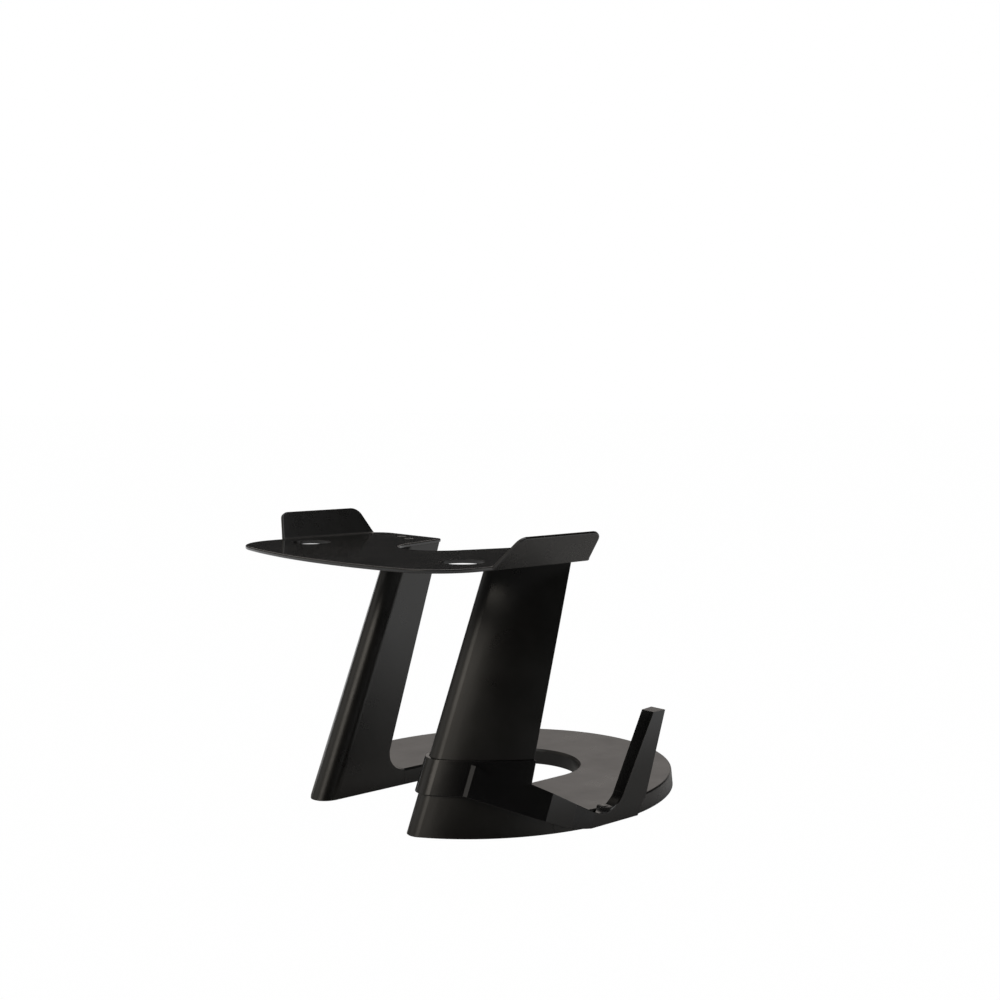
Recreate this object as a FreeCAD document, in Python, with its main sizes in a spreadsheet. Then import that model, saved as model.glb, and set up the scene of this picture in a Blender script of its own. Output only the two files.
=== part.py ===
"""A moulded desk stand: a horseshoe base, two leaning hollow legs, an oval tray with two flared
wings, and a side cradle that clips round one leg.

Lengths are in millimetres. X runs across the stand, and the right leg is at +X. Y runs from the
tray's front, at -Y, to the back of the base. Z is up. While the pieces are made, Y is measured
from the centre of the base's oval and Z from the underside of the base. The finished pieces are
then moved together, so that the origin lies on the desk under the middle of the whole stand.
"""
import FreeCAD, Part
import math
import os
import re
import Sketcher

V = FreeCAD.Vector
UP = V(0, 0, 1)
SIDE_VIEW = FreeCAD.Rotation(V(1, 1, 1), 120)
FRONT_VIEW = FreeCAD.Rotation(V(1, 0, 0), 90)
NEAR = 0.02

SIZES = (
    ("base_half_width", 106.5, "half the width of the base's oval"),
    ("base_half_length", 121.6, "half the length of the base's oval"),
    ("base_thickness", 10.0, "height of the base's rim"),
    ("rim_draft", 1.0, "how far the rim leans in at its top"),
    ("rim_edge_radius", 1.2, "rounding of the rim's top edge"),
    ("wall_thickness", 2.6, "wall of the base and the legs"),
    ("slot_half_width", 38.4, "half the gap between the legs"),
    ("slot_end_centre", 21.6, "centre of the slot's round end, behind the oval's centre"),
    ("slot_ledge", 1.4, "chamfer along the slot's top edge"),
    ("seam_setback", 43.4, "where the base plate meets the feet, before the oval's centre"),
    ("rib_thickness", 1.8, "stiffening ribs"),
    ("rib_spacing", 21.5, "distance between the ribs under the base"),
    ("joint_clearance", 0.3, "gap round a piece that slides into another"),
    ("face_clearance", 0.1, "gap between two faces that are screwed together"),
    ("leg_nose_radius", 9.85, "round front edge of a leg"),
    ("leg_lean", 0.4, "how far a leg leans back for each unit of height"),
    ("leg_rear_lean", 0.316, "lean of a leg's rear edge"),
    ("leg_rear_start", 62.6, "foot of the rear edge, before the oval's centre"),
    ("leg_height", 154.3, "top of a leg, where the tray lies on it"),
    ("leg_cap_thickness", 4.0, "closed top end of a leg"),
    ("tongue_thickness", 6.4, "tongue of the base plate inside a foot"),
    ("tongue_reach", 34.0, "how far a tongue goes into its foot"),
    ("tray_half_width", 102.2, "half the width of the tray"),
    ("tray_thickness", 2.2, "the tray's plate"),
    ("tray_front", 143.1, "front edge of the tray, before the oval's centre"),
    ("tray_rear", 12.4, "rear edge of the tray, before the oval's centre"),
    ("tray_front_radius", 330.0, "curve of the tray's front edge"),
    ("tray_corner_radius", 36.0, "front corners of the tray"),
    ("tray_rear_radius", 5.0, "corners where the rear notch opens"),
    ("tray_rear_run", 12.2, "how far the tray's rear corners reach in from its sides"),
    ("tray_edge_radius", 0.7, "rounding of the tray's rim and of the wings"),
    ("tray_hole_radius", 12.5, "round hole beside each wing"),
    ("tray_hole_offset", 74.0, "a round hole's place from the middle"),
    ("tray_hole_setback", 89.4, "a round hole's place before the oval's centre"),
    ("notch_mouth_half", 37.0, "half the rear notch's width at the tray's rear edge"),
    ("notch_end_radius", 25.6, "round front end of the rear notch"),
    ("notch_end_setback", 44.8, "centre of the notch's round end, before the oval's centre"),
    ("wing_thickness", 2.2, "a wing's plate"),
    ("wing_front", 92.9, "a wing's front corner at the tray, before the oval's centre"),
    ("wing_rear", 19.1, "a wing's rear corner at the tray, before the oval's centre"),
    ("wing_rise", 17.2, "height of a wing above the tray's underside"),
    ("wing_flare", 14.6, "how far a wing's top edge stands out"),
    ("wing_front_slope", 8.5, "how far a wing's front edge slopes back"),
    ("wing_rear_slope", 3.9, "how far a wing's rear edge slopes forward"),
    ("wing_front_radius", 6.0, "top front corner of a wing"),
    ("wing_rear_radius", 7.0, "top rear corner of a wing"),
    ("wing_root_radius", 3.0, "hollow corner between the tray and a wing"),
    ("cradle_clearance", 0.25, "gap between the clip and the leg"),
    ("cradle_wall", 2.2, "wall of the clip and the cradle"),
    ("clip_bottom", 23.0, "lower edge of the clip"),
    ("clip_top", 42.0, "upper edge of the clip"),
    ("clip_lip", 7.0, "how far the clip reaches back along the leg's inner wall"),
    ("clip_end", 0.7, "how far the clip's outer wall ends before the leg's rear edge"),
    ("arm_gap", 2.8, "gap between the leg's line and the arm's inner face at its first bend"),
    ("arm_first_bend", 54.6, "first upright bend of the arm's wall, carried down to the desk"),
    ("arm_second_bend", 36.6, "second upright bend of the arm's wall"),
    ("arm_third_bend", 24.4, "third upright bend, from where the wall runs straight back"),
    ("arm_dip", 1.6, "how much nearer the base's line the second bend is"),
    ("arm_swell", 0.6, "how much further from the base's line the third bend is"),
    ("arm_front", 95.3, "the arm's front edge, carried down to the desk"),
    ("arm_low", 23.3, "height of the arm's lower front corner"),
    ("arm_high", 40.1, "height of the arm's upper front corner"),
    ("arm_shoulder_setback", 73.1, "first bend of the arm's upper edge"),
    ("arm_shoulder_height", 34.8, "first bend of the arm's upper edge"),
    ("arm_elbow_setback", 54.9, "second bend of the arm's upper edge"),
    ("arm_elbow_height", 29.3, "second bend of the arm's upper edge"),
    ("arm_belly_setback", 44.0, "bend of the arm's lower edge"),
    ("arm_belly_height", 5.6, "bend of the arm's lower edge"),
    ("arm_belly_radius", 55.0, "curve from the lower edge to the cradle's bottom"),
    ("notch_front", 22.9, "front of the cradle's hollow"),
    ("notch_front_height", 11.2, "front of the cradle's hollow"),
    ("notch_rear", 3.1, "where the hollow runs into the finger"),
    ("notch_rear_height", 17.1, "where the hollow runs into the finger"),
    ("notch_radius", 18.3, "curve of the cradle's hollow"),
    ("finger_front_top", 28.4, "front of the finger's top"),
    ("finger_rear_top", 38.6, "rear of the finger's top"),
    ("finger_height", 61.0, "top of the finger"),
    ("finger_heel", 25.1, "where the finger's rear edge meets its round heel"),
    ("finger_heel_height", 21.0, "where the finger's rear edge meets its round heel"),
    ("finger_heel_radius", 100.0, "round heel below the finger"),
    ("finger_heel_run", 15.0, "where the round heel meets the cradle's bottom"),
    ("finger_depth", 4.6, "depth of the finger's channel at the arm's third bend"),
    ("finger_rear_depth", 13.0, "depth of the finger's channel behind its rear edge"),
    ("cradle_bottom", 1.3, "lower edge of the cradle"),
    ("pad_radius", 7.0, "rubber foot pads"),
    ("pad_thickness", 2.0, "rubber foot pads"),
    ("pad_proud", 0.8, "how far a pad stands out of the base"),
    ("pad_edge", 0.4, "rounding of a pad"),
    ("pad_wall", 1.6, "wall round the seat of a pad"),
    ("pad_inset", 18.0, "a pad's middle from the base's line"),
    ("pad_front_step", 14.5, "the front pads' place before the seam"),
    ("pad_rear_step", 3.9, "the rear pads' place before the middle of the base's bridge"),
    ("screw_radius", 1.5, "shank of every screw"),
    ("screw_head_radius", 2.9, "head of every screw"),
    ("screw_head_height", 1.4, "cone of a countersunk head"),
    ("screw_clearance", 0.1, "gap round a screw and round a pad"),
    ("screw_socket_radius", 1.1, "drive socket of every screw"),
    ("screw_socket_depth", 0.9, "drive socket of every screw"),
    ("tray_screw_length", 8.5, "screws through the tray"),
    ("base_screw_length", 12.0, "screws through the base plate's tongues"),
    ("boss_radius", 4.2, "boss round a screw"),
    ("boss_height", 6.0, "boss above a foot's deck"),
    ("base_screw_step", 26.6, "the base screws' place before the seam"),
    ("base_screw_side", 11.6, "the inner base screw's place from the slot"),
    ("base_screw_inset", 12.7, "the outer base screw's place from the base's line"),
    ("tray_screw_side", 12.6, "the inner tray screw's place from the slot"),
    ("tray_screw_inset", 7.5, "the outer tray screw's place from the leg's line"),
    ("tray_screw_front", 15.2, "the inner tray screw's place before the leg's rear edge"),
    ("tray_screw_rear", 9.2, "the outer tray screw's place before the leg's rear edge"),
)

LEG_RIBS = 3
SLOT_RIBS = 2
CROSS_RIBS = 3
RAY_RIBS = 11

doc = FreeCAD.newDocument("desk_stand")
sheet = doc.addObject("Spreadsheet::Sheet", "sizes")
for row, (alias, number, meaning) in enumerate(SIZES, 1):
    sheet.set(f"A{row}", meaning)
    sheet.set(f"B{row}", str(number))
    sheet.setAlias(f"B{row}", alias)
doc.recompute()


def linked(formula):
    """Return the formula with every size named as a cell of the sheet."""
    return re.sub(r"[a-z]+(?:_[a-z]+)+", r"sizes.\g<0>", formula)


def worth(formula):
    """Return the number that a formula gives."""
    return float(sheet.evalExpression(linked(formula)))


def bind(item, formulas):
    """Tie properties of an object to the sheet."""
    for name, formula in formulas.items():
        item.setExpression(name, linked(formula))
    return item


def made(kind, name):
    """Add an object to the document."""
    return doc.addObject(kind, name)


def box(name, x, y, z):
    """A box between three pairs of formulas."""
    item = made("Part::Box", name)
    return bind(item, {
        "Length": f"({x[1]}) - ({x[0]})", "Placement.Base.x": x[0],
        "Width": f"({y[1]}) - ({y[0]})", "Placement.Base.y": y[0],
        "Height": f"({z[1]}) - ({z[0]})", "Placement.Base.z": z[0],
    })


def cylinder(name, radius, z, x="0", y="0"):
    """An upright cylinder between two heights."""
    item = made("Part::Cylinder", name)
    return bind(item, {
        "Radius": radius, "Height": f"({z[1]}) - ({z[0]})",
        "Placement.Base.x": x, "Placement.Base.y": y, "Placement.Base.z": z[0],
    })


def joined(name, items):
    """One solid of several."""
    item = made("Part::MultiFuse", name)
    item.Shapes = items
    return item


def cut(name, base, tool):
    """What is left of one solid outside another."""
    item = made("Part::Cut", name)
    item.Refine = False
    item.Base = base
    item.Tool = tool
    return item


def common(name, first, second):
    """What two solids share."""
    item = made("Part::Common", name)
    item.Refine = False
    item.Base = first
    item.Tool = second
    return item


def mirrored(name, source):
    """The same piece on the other side of the stand."""
    item = made("Part::Mirroring", name)
    item.Source = source
    item.Normal = V(1, 0, 0)
    return item


def oval(name, grow, height, lean="0"):
    """The base's outline, grown by a formula and carried up to a height along a lean."""
    item = made("Part::Ellipse", name)
    long_way = worth("base_half_length") > worth("base_half_width")
    item.Placement = FreeCAD.Placement(V(), FreeCAD.Rotation(UP, 90 if long_way else 0))
    return bind(item, {
        "MajorRadius": f"max(base_half_width; base_half_length) + ({grow})",
        "MinorRadius": f"min(base_half_width; base_half_length) + ({grow})",
        "Placement.Base.y": f"({lean}) * ({height})", "Placement.Base.z": height,
    })


def leaning_oval(name, grow, low, high):
    """A column on the base's outline that leans back as the legs do."""
    item = made("Part::Extrusion", name)
    item.Base = oval(f"{name}_outline", grow, low, "leg_lean")
    item.DirMode = "Custom"
    item.Solid = True
    return bind(item, {
        "Dir.x": "0", "Dir.y": "leg_lean", "Dir.z": "1",
        "LengthFwd": f"(({high}) - ({low})) * sqrt(1 + leg_lean ^ 2)",
    })


def outline(sketch, corners):
    """Draw a closed outline whose corners are pairs of formulas.

    A corner with a third entry is reached on an arc of that radius, and a fourth entry of -1
    puts the arc's centre on the right of the way round.
    """
    places = [V(worth(corner[0]), worth(corner[1]), 0) for corner in corners]
    count = len(corners)
    ends = []
    for index in range(count):
        start = places[index]
        following = (index + 1) % count
        end = places[following]
        bend = corners[following][2:]
        if not bend:
            sketch.addGeometry(Part.LineSegment(start, end))
            ends.append((1, 2))
            continue
        radius = worth(bend[0])
        turn = bend[1] if len(bend) > 1 else 1
        chord = end - start
        across = V(-chord.y, chord.x, 0) * (turn / chord.Length)
        rise = math.sqrt(max(radius ** 2 - chord.Length ** 2 / 4, 0))
        centre = (start + end) * 0.5 + across * rise
        middle = centre - across * radius
        sketch.addGeometry(Part.Arc(start, middle, end))
        ends.append((1, 2) if turn > 0 else (2, 1))
    for index, corner in enumerate(corners):
        before = (index - 1) % count
        first = ends[index][0]
        sketch.addConstraint(Sketcher.Constraint("Coincident", before, ends[before][1], index, first))
        for kind, formula, number in (("DistanceX", corner[0], places[index].x),
                                      ("DistanceY", corner[1], places[index].y)):
            place = sketch.addConstraint(Sketcher.Constraint(kind, -1, 1, index, first, number))
            sketch.setExpression(f"Constraints[{place}]", linked(formula))
        if corner[2:]:
            bend = Sketcher.Constraint("Radius", before, worth(corner[2]))
            place = sketch.addConstraint(bend)
            sketch.setExpression(f"Constraints[{place}]", linked(corner[2]))
    return sketch


def side_profile(name, corners, x):
    """A solid whose outline is drawn in Y and Z and which runs along X."""
    sketch = outline(made("Sketcher::SketchObject", f"{name}_sketch"), corners)
    sketch.Placement = FreeCAD.Placement(V(), SIDE_VIEW)
    bind(sketch, {"Placement.Base.x": x[0]})
    item = made("Part::Extrusion", name)
    item.Base = sketch
    item.DirMode = "Normal"
    item.Solid = True
    return bind(item, {"LengthFwd": f"({x[1]}) - ({x[0]})"})


def front_profile(name, corners, y):
    """A solid whose outline is drawn in X and Z and which runs along Y."""
    sketch = outline(made("Sketcher::SketchObject", f"{name}_sketch"), corners)
    sketch.Placement = FreeCAD.Placement(V(), FRONT_VIEW)
    bind(sketch, {"Placement.Base.y": y[1]})
    item = made("Part::Extrusion", name)
    item.Base = sketch
    item.DirMode = "Normal"
    item.Solid = True
    return bind(item, {"LengthFwd": f"({y[1]}) - ({y[0]})"})


def edges_where(feature, test):
    """Names of the edges whose middle and length pass a test."""
    names = []
    for number, edge in enumerate(feature.Shape.Edges, 1):
        middle = edge.valueAt((edge.FirstParameter + edge.LastParameter) / 2)
        if test(middle, edge):
            names.append(f"Edge{number}")
    if not names:
        raise RuntimeError(f"{feature.Name} has no such edge")
    return names


def body_on(name, solid):
    """A body that starts from a solid made before it."""
    body = made("PartDesign::Body", name)
    body.BaseFeature = solid
    doc.recompute()
    return body


def rounded(body, name, radius, test):
    """Round the edges of a body that pass a test."""
    base = body.Tip
    names = edges_where(base, test)
    item = body.newObject("PartDesign::Fillet", name)
    item.Refine = False
    item.Base = (base, names)
    bind(item, {"Radius": radius})
    doc.recompute()
    return item


def plane_of(body, role):
    """One of a body's own origin planes."""
    return next(item for item in body.Origin.OriginFeatures if item.Role == role)


def drawn_on(body, name, role, corners, height="0"):
    """A sketch on one of a body's own planes, moved off it by a formula."""
    sketch = outline(body.newObject("Sketcher::SketchObject", name), corners)
    sketch.AttachmentSupport = [(plane_of(body, role), "")]
    sketch.MapMode = "FlatFace"
    bind(sketch, {"AttachmentOffset.Base.z": height})
    return sketch


def leg_column(name, inset, low, high):
    """One leg's full column: flat inside wall, round nose and an outer wall on the base's line.

    A positive inset makes it thinner all round, and a negative one makes it larger. Its rear is
    left long, and is shaped by what it is cut with.
    """
    column = leaning_oval(f"{name}_oval", f"-({inset})", low, high)
    inner = f"slot_half_width + ({inset})"
    side = box(f"{name}_side", (inner, "2 * base_half_width"),
               ("-2 * base_half_length", "2 * base_half_length"), (low, high))
    blank = common(f"{name}_blank", column, side)
    body = body_on(f"{name}_column", blank)
    flat = worth(inner)
    half_way = worth(f"(({low}) + ({high})) / 2")
    half_lean = half_way * worth("leg_lean")
    rounded(body, f"{name}_nose", f"leg_nose_radius - ({inset})",
            lambda middle, edge: abs(middle.x - flat) < NEAR and middle.y < half_lean
            and abs(middle.z - half_way) < NEAR and edge.Length > NEAR)
    return body


def rear_line(height, back="0"):
    """Where a leg's rear edge is at a height, moved back by a formula."""
    return f"leg_rear_lean * ({height}) - leg_rear_start + ({back})"


def leg_outline():
    """A leg from the side: foot, deck, swept heel, rear edge and top."""
    heel = "(leg_rear_start - leg_rear_lean * base_thickness - seam_setback)"
    slant = "sqrt(1 + leg_rear_lean ^ 2)"
    far_front = "-2 * base_half_length"
    return (
        (far_front, "0"),
        ("-seam_setback", "0"),
        ("-seam_setback", "base_thickness"),
        (f"{rear_line('base_thickness')} + {heel} * leg_rear_lean / {slant}",
         f"base_thickness + {heel} / {slant}", f"{heel} / ({slant} + leg_rear_lean)", -1),
        (rear_line("leg_height"), "leg_height"),
        (far_front, "leg_height"),
    )


def on_line(y, inset):
    """How far from the middle the base's outline, drawn in by a formula, is at a place along Y."""
    along = f"({y}) / (base_half_length - ({inset}))"
    return f"(base_half_width - ({inset})) * sqrt(1 - ({along}) ^ 2)"


def pad_places():
    """Where the pads of one side lie: under the foot, beside the slot and behind it."""
    bridge = "(slot_end_centre + slot_half_width + base_half_length) / 2"
    along = ("-seam_setback - pad_front_step", "slot_end_centre / 2", f"{bridge} - pad_rear_step")
    return [(on_line(y, "pad_inset"), y) for y in along]


def base_screw_places():
    """Where the screws of one foot are."""
    y = "-seam_setback - base_screw_step"
    return [("slot_half_width + base_screw_side", y), (on_line(y, "base_screw_inset"), y)]


def tray_screw_places():
    """Where the screws of one leg's top are."""
    inner = rear_line("leg_height", "-tray_screw_front")
    outer = rear_line("leg_height", "-tray_screw_rear")
    return [("slot_half_width + tray_screw_side", inner),
            (on_line(f"{outer} - leg_lean * leg_height", "tray_screw_inset"), outer)]


def build_leg():
    """The right leg: a hollow moulding, open at the back, with ribs, a deck and a closed top."""
    blank = common("leg_blank", leg_column("leg_outer", "0", "0", "leg_height"),
                   side_profile("leg_side", leg_outline(), ("0", "2 * base_half_width")))
    x = ("0", "2 * base_half_width")
    y = ("-2 * base_half_length", "base_half_length")
    slabs = [box("foot_core", x, y, ("-wall_thickness", "base_thickness - wall_thickness"))]
    bay = f"((leg_height - leg_cap_thickness - base_thickness + rib_thickness) / {LEG_RIBS + 1})"
    for index in range(LEG_RIBS + 1):
        low = f"base_thickness + {index} * {bay}"
        slabs.append(box(f"leg_bay_{index + 1}", x, y, (low, f"{low} + {bay} - rib_thickness")))
    inside = leg_column("leg_inner", "wall_thickness", "-wall_thickness", "leg_height")
    core = common("leg_core", inside, joined("leg_bays", slabs))
    hollow = cut("leg_hollow", blank, core)
    bosses = []
    drills = []
    for index, (x_at, y_at) in enumerate(base_screw_places(), 1):
        bosses.append(cylinder(f"foot_boss_{index}", "boss_radius",
                               ("base_thickness - wall_thickness / 2", "base_thickness + boss_height"),
                               x_at, y_at))
        drills.append(cylinder(f"foot_drill_{index}", "screw_radius + screw_clearance",
                               ("-wall_thickness", "base_thickness + boss_height"),
                               x_at, y_at))
    for index, (x_at, y_at) in enumerate(tray_screw_places(), 1):
        drills.append(cylinder(f"cap_drill_{index}", "screw_radius + screw_clearance",
                               ("leg_height - tray_screw_length", "leg_height + 1"),
                               x_at, y_at))
        bosses.append(cylinder(f"cap_boss_{index}", "boss_radius",
                               ("leg_height + tray_thickness - tray_screw_length",
                                "leg_height - leg_cap_thickness / 2"), x_at, y_at))
    trimmed = common("leg_bosses", joined("leg_boss_set", bosses), blank)
    whole = joined("leg_with_bosses", [hollow, trimmed])
    return cut("leg_drilled", whole, joined("leg_drills", drills))


def horseshoe_slot(name, grow, z):
    """The slot between the legs with its round end, grown by a formula."""
    half = f"slot_half_width + ({grow})"
    run = box(f"{name}_run", (f"-({half})", half),
              ("-2 * base_half_length", "slot_end_centre"), z)
    end = cylinder(f"{name}_end", half, z, "0", "slot_end_centre")
    return joined(name, [run, end])


def oval_plate(name, grow_low, grow_high, z):
    """A plate on the base's outline whose rim may lean."""
    item = made("Part::Loft", name)
    item.Sections = [oval(f"{name}_low", grow_low, z[0]), oval(f"{name}_high", grow_high, z[1])]
    item.Solid = True
    item.Ruled = True
    return item


def countersunk(name, x_at, y_at, face, way):
    """The hole for a screw whose head lies flush in a face; way is 1 for a head that looks down."""
    wide = "screw_head_radius + screw_clearance"
    narrow = "screw_radius + screw_clearance"
    cone = made("Part::Cone", f"{name}_cone")
    bind(cone, {
        "Radius1": wide if way > 0 else narrow, "Radius2": narrow if way > 0 else wide,
        "Height": "screw_head_height", "Placement.Base.x": x_at, "Placement.Base.y": y_at,
        "Placement.Base.z": face if way > 0 else f"{face} - screw_head_height",
    })
    reach = ("-1", "base_thickness") if way > 0 else ("-base_thickness", "1")
    shank = cylinder(f"{name}_shank", narrow, (f"{face} + ({reach[0]})", f"{face} + {reach[1]}"),
                     x_at, y_at)
    return joined(name, [cone, shank])


def both_sides(items):
    """The pieces and their mirror images."""
    return items + [mirrored(f"{item.Name}_left", item) for item in items]


def base_shell():
    """The horseshoe plate before it is cored, with a chamfered slot and an eased rim."""
    solid = oval_plate("base_blank", "0", "-rim_draft", ("0", "base_thickness"))
    over = ("-1", "base_thickness + 1")
    front = box("base_front", ("-2 * base_half_width", "2 * base_half_width"),
                ("-2 * base_half_length", "-seam_setback + face_clearance"), over)
    slot = horseshoe_slot("base_slot", "0", over)
    body = body_on("base_shell", cut("base_horseshoe", cut("base_seam", solid, front), slot))
    top = worth("base_thickness")
    seam = -worth("seam_setback - face_clearance")
    slot_radius = worth("slot_half_width")
    slot_end = V(0, worth("slot_end_centre"), top)

    def on_top(middle):
        return abs(middle.z - top) < NEAR and abs(middle.y - seam) > NEAR

    def on_slot(middle):
        on_run = abs(abs(middle.x) - slot_radius) < NEAR and middle.y < slot_end.y
        return on_top(middle) and (on_run or abs((middle - slot_end).Length - slot_radius) < NEAR)

    shell = body.Tip
    slot_edges = edges_where(shell, lambda middle, edge: on_slot(middle))
    ledge = body.newObject("PartDesign::Chamfer", "slot_ledge_cut")
    ledge.Refine = False
    ledge.Base = (shell, slot_edges)
    bind(ledge, {"Size": "slot_ledge"})
    doc.recompute()
    rounded(body, "rim_ease", "rim_edge_radius",
            lambda middle, edge: on_top(middle) and (middle - slot_end).Length > 2 * slot_radius
            or on_top(middle) and middle.y > worth("base_half_length - rim_draft") - NEAR)
    return body


def base_ribs():
    """The ribs under the base: two that follow the slot, straight ones across, and rays behind."""
    z = ("-base_thickness", "base_thickness")
    ribs = []
    for index in range(1, SLOT_RIBS + 1):
        grow = f"{index} * rib_spacing"
        ribs.append(cut(f"slot_rib_{index}",
                        horseshoe_slot(f"slot_rib_{index}_out", f"{grow} + rib_thickness", z),
                        horseshoe_slot(f"slot_rib_{index}_in", grow, z)))
    for index in range(CROSS_RIBS):
        place = f"slot_end_centre - {index} * rib_spacing"
        ribs.append(box(f"cross_rib_{index + 1}", ("-2 * base_half_width", "2 * base_half_width"),
                        (f"{place} - rib_thickness", place), z))
    for index in range(1, RAY_RIBS + 1):
        turn = f"{index} * 180 / {RAY_RIBS + 1}"
        rib = made("Part::Box", f"ray_rib_{index}")
        rib.Placement = FreeCAD.Placement(V(), FreeCAD.Rotation(UP, 180 * index / (RAY_RIBS + 1)))
        ribs.append(bind(rib, {
            "Length": "2 * base_half_length", "Width": "rib_thickness",
            "Height": "2 * base_thickness",
            "Placement.Base.x": f"rib_thickness / 2 * sin({turn})",
            "Placement.Base.y": f"slot_end_centre - rib_thickness / 2 * cos({turn})",
            "Placement.Base.z": "-base_thickness",
        }))
    return joined("base_ribs", ribs)


def build_base():
    """The base plate: a horseshoe cored from below, with ribs, pad seats and two tongues."""
    under = ("-1", "base_thickness - wall_thickness")
    room = oval_plate("base_room", "-rim_draft - wall_thickness", "-rim_draft - wall_thickness",
                      under)
    front_wall = box("base_front_wall", ("-2 * base_half_width", "2 * base_half_width"),
                     ("-2 * base_half_length", "-seam_setback + wall_thickness"),
                     ("-base_thickness", "base_thickness"))
    slot_wall = horseshoe_slot("base_slot_wall", "wall_thickness",
                               ("-base_thickness", "base_thickness"))
    room = cut("base_room_behind_slot", cut("base_room_behind_seam", room, front_wall), slot_wall)
    cored = cut("base_cored", base_shell(), cut("base_core", room, base_ribs()))

    tongue_room = leg_column("tongue", "wall_thickness + joint_clearance", "0", "tongue_thickness")
    tongue_box = box("tongue_box", ("0", "2 * base_half_width"),
                     ("-seam_setback - tongue_reach", "-seam_setback + wall_thickness"),
                     ("0", "tongue_thickness"))
    added = [common("tongue_blank", tongue_room, tongue_box)]
    seats = []
    for index, (x_at, y_at) in enumerate(pad_places(), 1):
        seats.append(cylinder(f"pad_seat_{index}", "pad_radius + screw_clearance",
                              ("-1", "pad_thickness - pad_proud"), x_at, y_at))
        if worth(y_at) > -worth("seam_setback"):
            added.append(cylinder(f"pad_boss_{index}", "pad_radius + pad_wall",
                                  ("0", "base_thickness - wall_thickness / 2"), x_at, y_at))
    for index, (x_at, y_at) in enumerate(base_screw_places(), 1):
        seats.append(countersunk(f"base_screw_hole_{index}", x_at, y_at, "0", 1))
    whole = joined("base_joined", [cored] + both_sides(added))
    return cut("base_drilled", whole, joined("base_holes", both_sides(seats)))


def tray_plate():
    """The tray's plate: a curved front, round corners and a deep round-ended notch behind."""
    body = made("PartDesign::Body", "tray_plate")
    side = "tray_half_width"
    side_start = "-tray_front + tray_front_radius - sqrt(tray_front_radius ^ 2 - tray_half_width ^ 2)"
    run = "(notch_end_setback - tray_rear)"
    reach = f"(notch_mouth_half ^ 2 + {run} ^ 2)"
    tangent = f"sqrt({reach} - notch_end_radius ^ 2)"
    notch_x = f"(notch_end_radius ^ 2 * notch_mouth_half + notch_end_radius * {tangent} * {run}) / {reach}"
    notch_y = (f"(notch_end_radius ^ 2 * {run} - notch_end_radius * {tangent} * notch_mouth_half)"
               f" / {reach} - notch_end_setback")
    drop = "(wing_rear - tray_rear)"
    rear_radius = f"(tray_rear_run ^ 2 + {drop} ^ 2) / (2 * {drop})"
    corners = (
        (side, side_start, "tray_front_radius"),
        (side, "-wing_rear"),
        (f"{side} - tray_rear_run", "-tray_rear", rear_radius),
        ("notch_mouth_half", "-tray_rear"),
        (notch_x, notch_y),
        (f"-({notch_x})", notch_y, "notch_end_radius", -1),
        ("-notch_mouth_half", "-tray_rear"),
        (f"tray_rear_run - {side}", "-tray_rear"),
        (f"-{side}", "-wing_rear", rear_radius),
        (f"-{side}", side_start),
    )
    sketch = drawn_on(body, "tray_outline", "XY_Plane", corners, "leg_height")
    pad = body.newObject("PartDesign::Pad", "tray_pad")
    pad.Profile = sketch
    bind(pad, {"Length": "tray_thickness"})
    doc.recompute()
    half_width = worth(side)
    thickness = worth("tray_thickness")

    def upright(edge):
        return abs(edge.Length - thickness) < NEAR

    rounded(body, "tray_front_corners", "tray_corner_radius",
            lambda middle, edge: upright(edge) and abs(abs(middle.x) - half_width) < NEAR
            and middle.y < -worth("wing_front"))
    rounded(body, "tray_rear_corners", "tray_rear_radius",
            lambda middle, edge: upright(edge) and abs(middle.y + worth("tray_rear")) < NEAR
            and abs(middle.x) < worth("notch_mouth_half") + NEAR)
    front = -worth("tray_front")
    rounded(body, "tray_rim", "tray_edge_radius",
            lambda middle, edge: abs(middle.x) < NEAR and abs(middle.y - front) < NEAR
            or abs(middle.y + worth("tray_rear")) < NEAR and edge.Length > 2 * thickness)
    return body


def wing():
    """The right wing: a flared flap that rises from the tray's side on a round root."""
    side = "tray_half_width"
    under = "leg_height"
    length = "sqrt(wing_flare ^ 2 + wing_rise ^ 2)"
    out = f"(wing_flare / {length})"
    up = f"(wing_rise / {length})"
    root = f"({side} - wing_thickness / {up} + tray_thickness * {out} / {up})"
    ease = f"(wing_root_radius * (1 - {out}) / {up})"
    section = (
        (f"{side} - 2 * wing_root_radius", under),
        (side, under),
        (f"{side} + wing_flare", f"{under} + wing_rise"),
        (f"{side} + wing_flare - wing_thickness * {up}",
         f"{under} + wing_rise + wing_thickness * {out}"),
        (f"{root} + {ease} * {out}", f"{under} + tray_thickness + {ease} * {up}"),
        (f"{root} - {ease}", f"{under} + tray_thickness", "wing_root_radius", -1),
        (f"{side} - 2 * wing_root_radius", f"{under} + tray_thickness"),
    )
    bar = front_profile("wing_section", section, ("-wing_front - 1", "-wing_rear + 1"))
    rise = "(wing_rise + wing_thickness)"
    face = side_profile("wing_face", (
        ("-wing_front", under),
        ("-wing_rear", under),
        (f"-wing_rear - wing_rear_slope * {rise} / wing_rise", f"{under} + {rise}"),
        (f"-wing_front + wing_front_slope * {rise} / wing_rise", f"{under} + {rise}"),
    ), ("0", "2 * tray_half_width"))
    body = body_on("wing", common("wing_blank", bar, face))
    top = worth(f"{under} + wing_rise") - 1
    span = worth("wing_thickness") * 1.8
    middle_y = -worth("(wing_front + wing_rear) / 2")
    rounded(body, "wing_front_corner", "wing_front_radius",
            lambda middle, edge: middle.z > top and edge.Length < span and middle.y < middle_y)
    rounded(body, "wing_rear_corner", "wing_rear_radius",
            lambda middle, edge: middle.z > top and edge.Length < span and middle.y > middle_y)
    rounded(body, "wing_edge", "tray_edge_radius",
            lambda middle, edge: middle.z > top and edge.Length > 4 * span)
    return body


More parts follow.
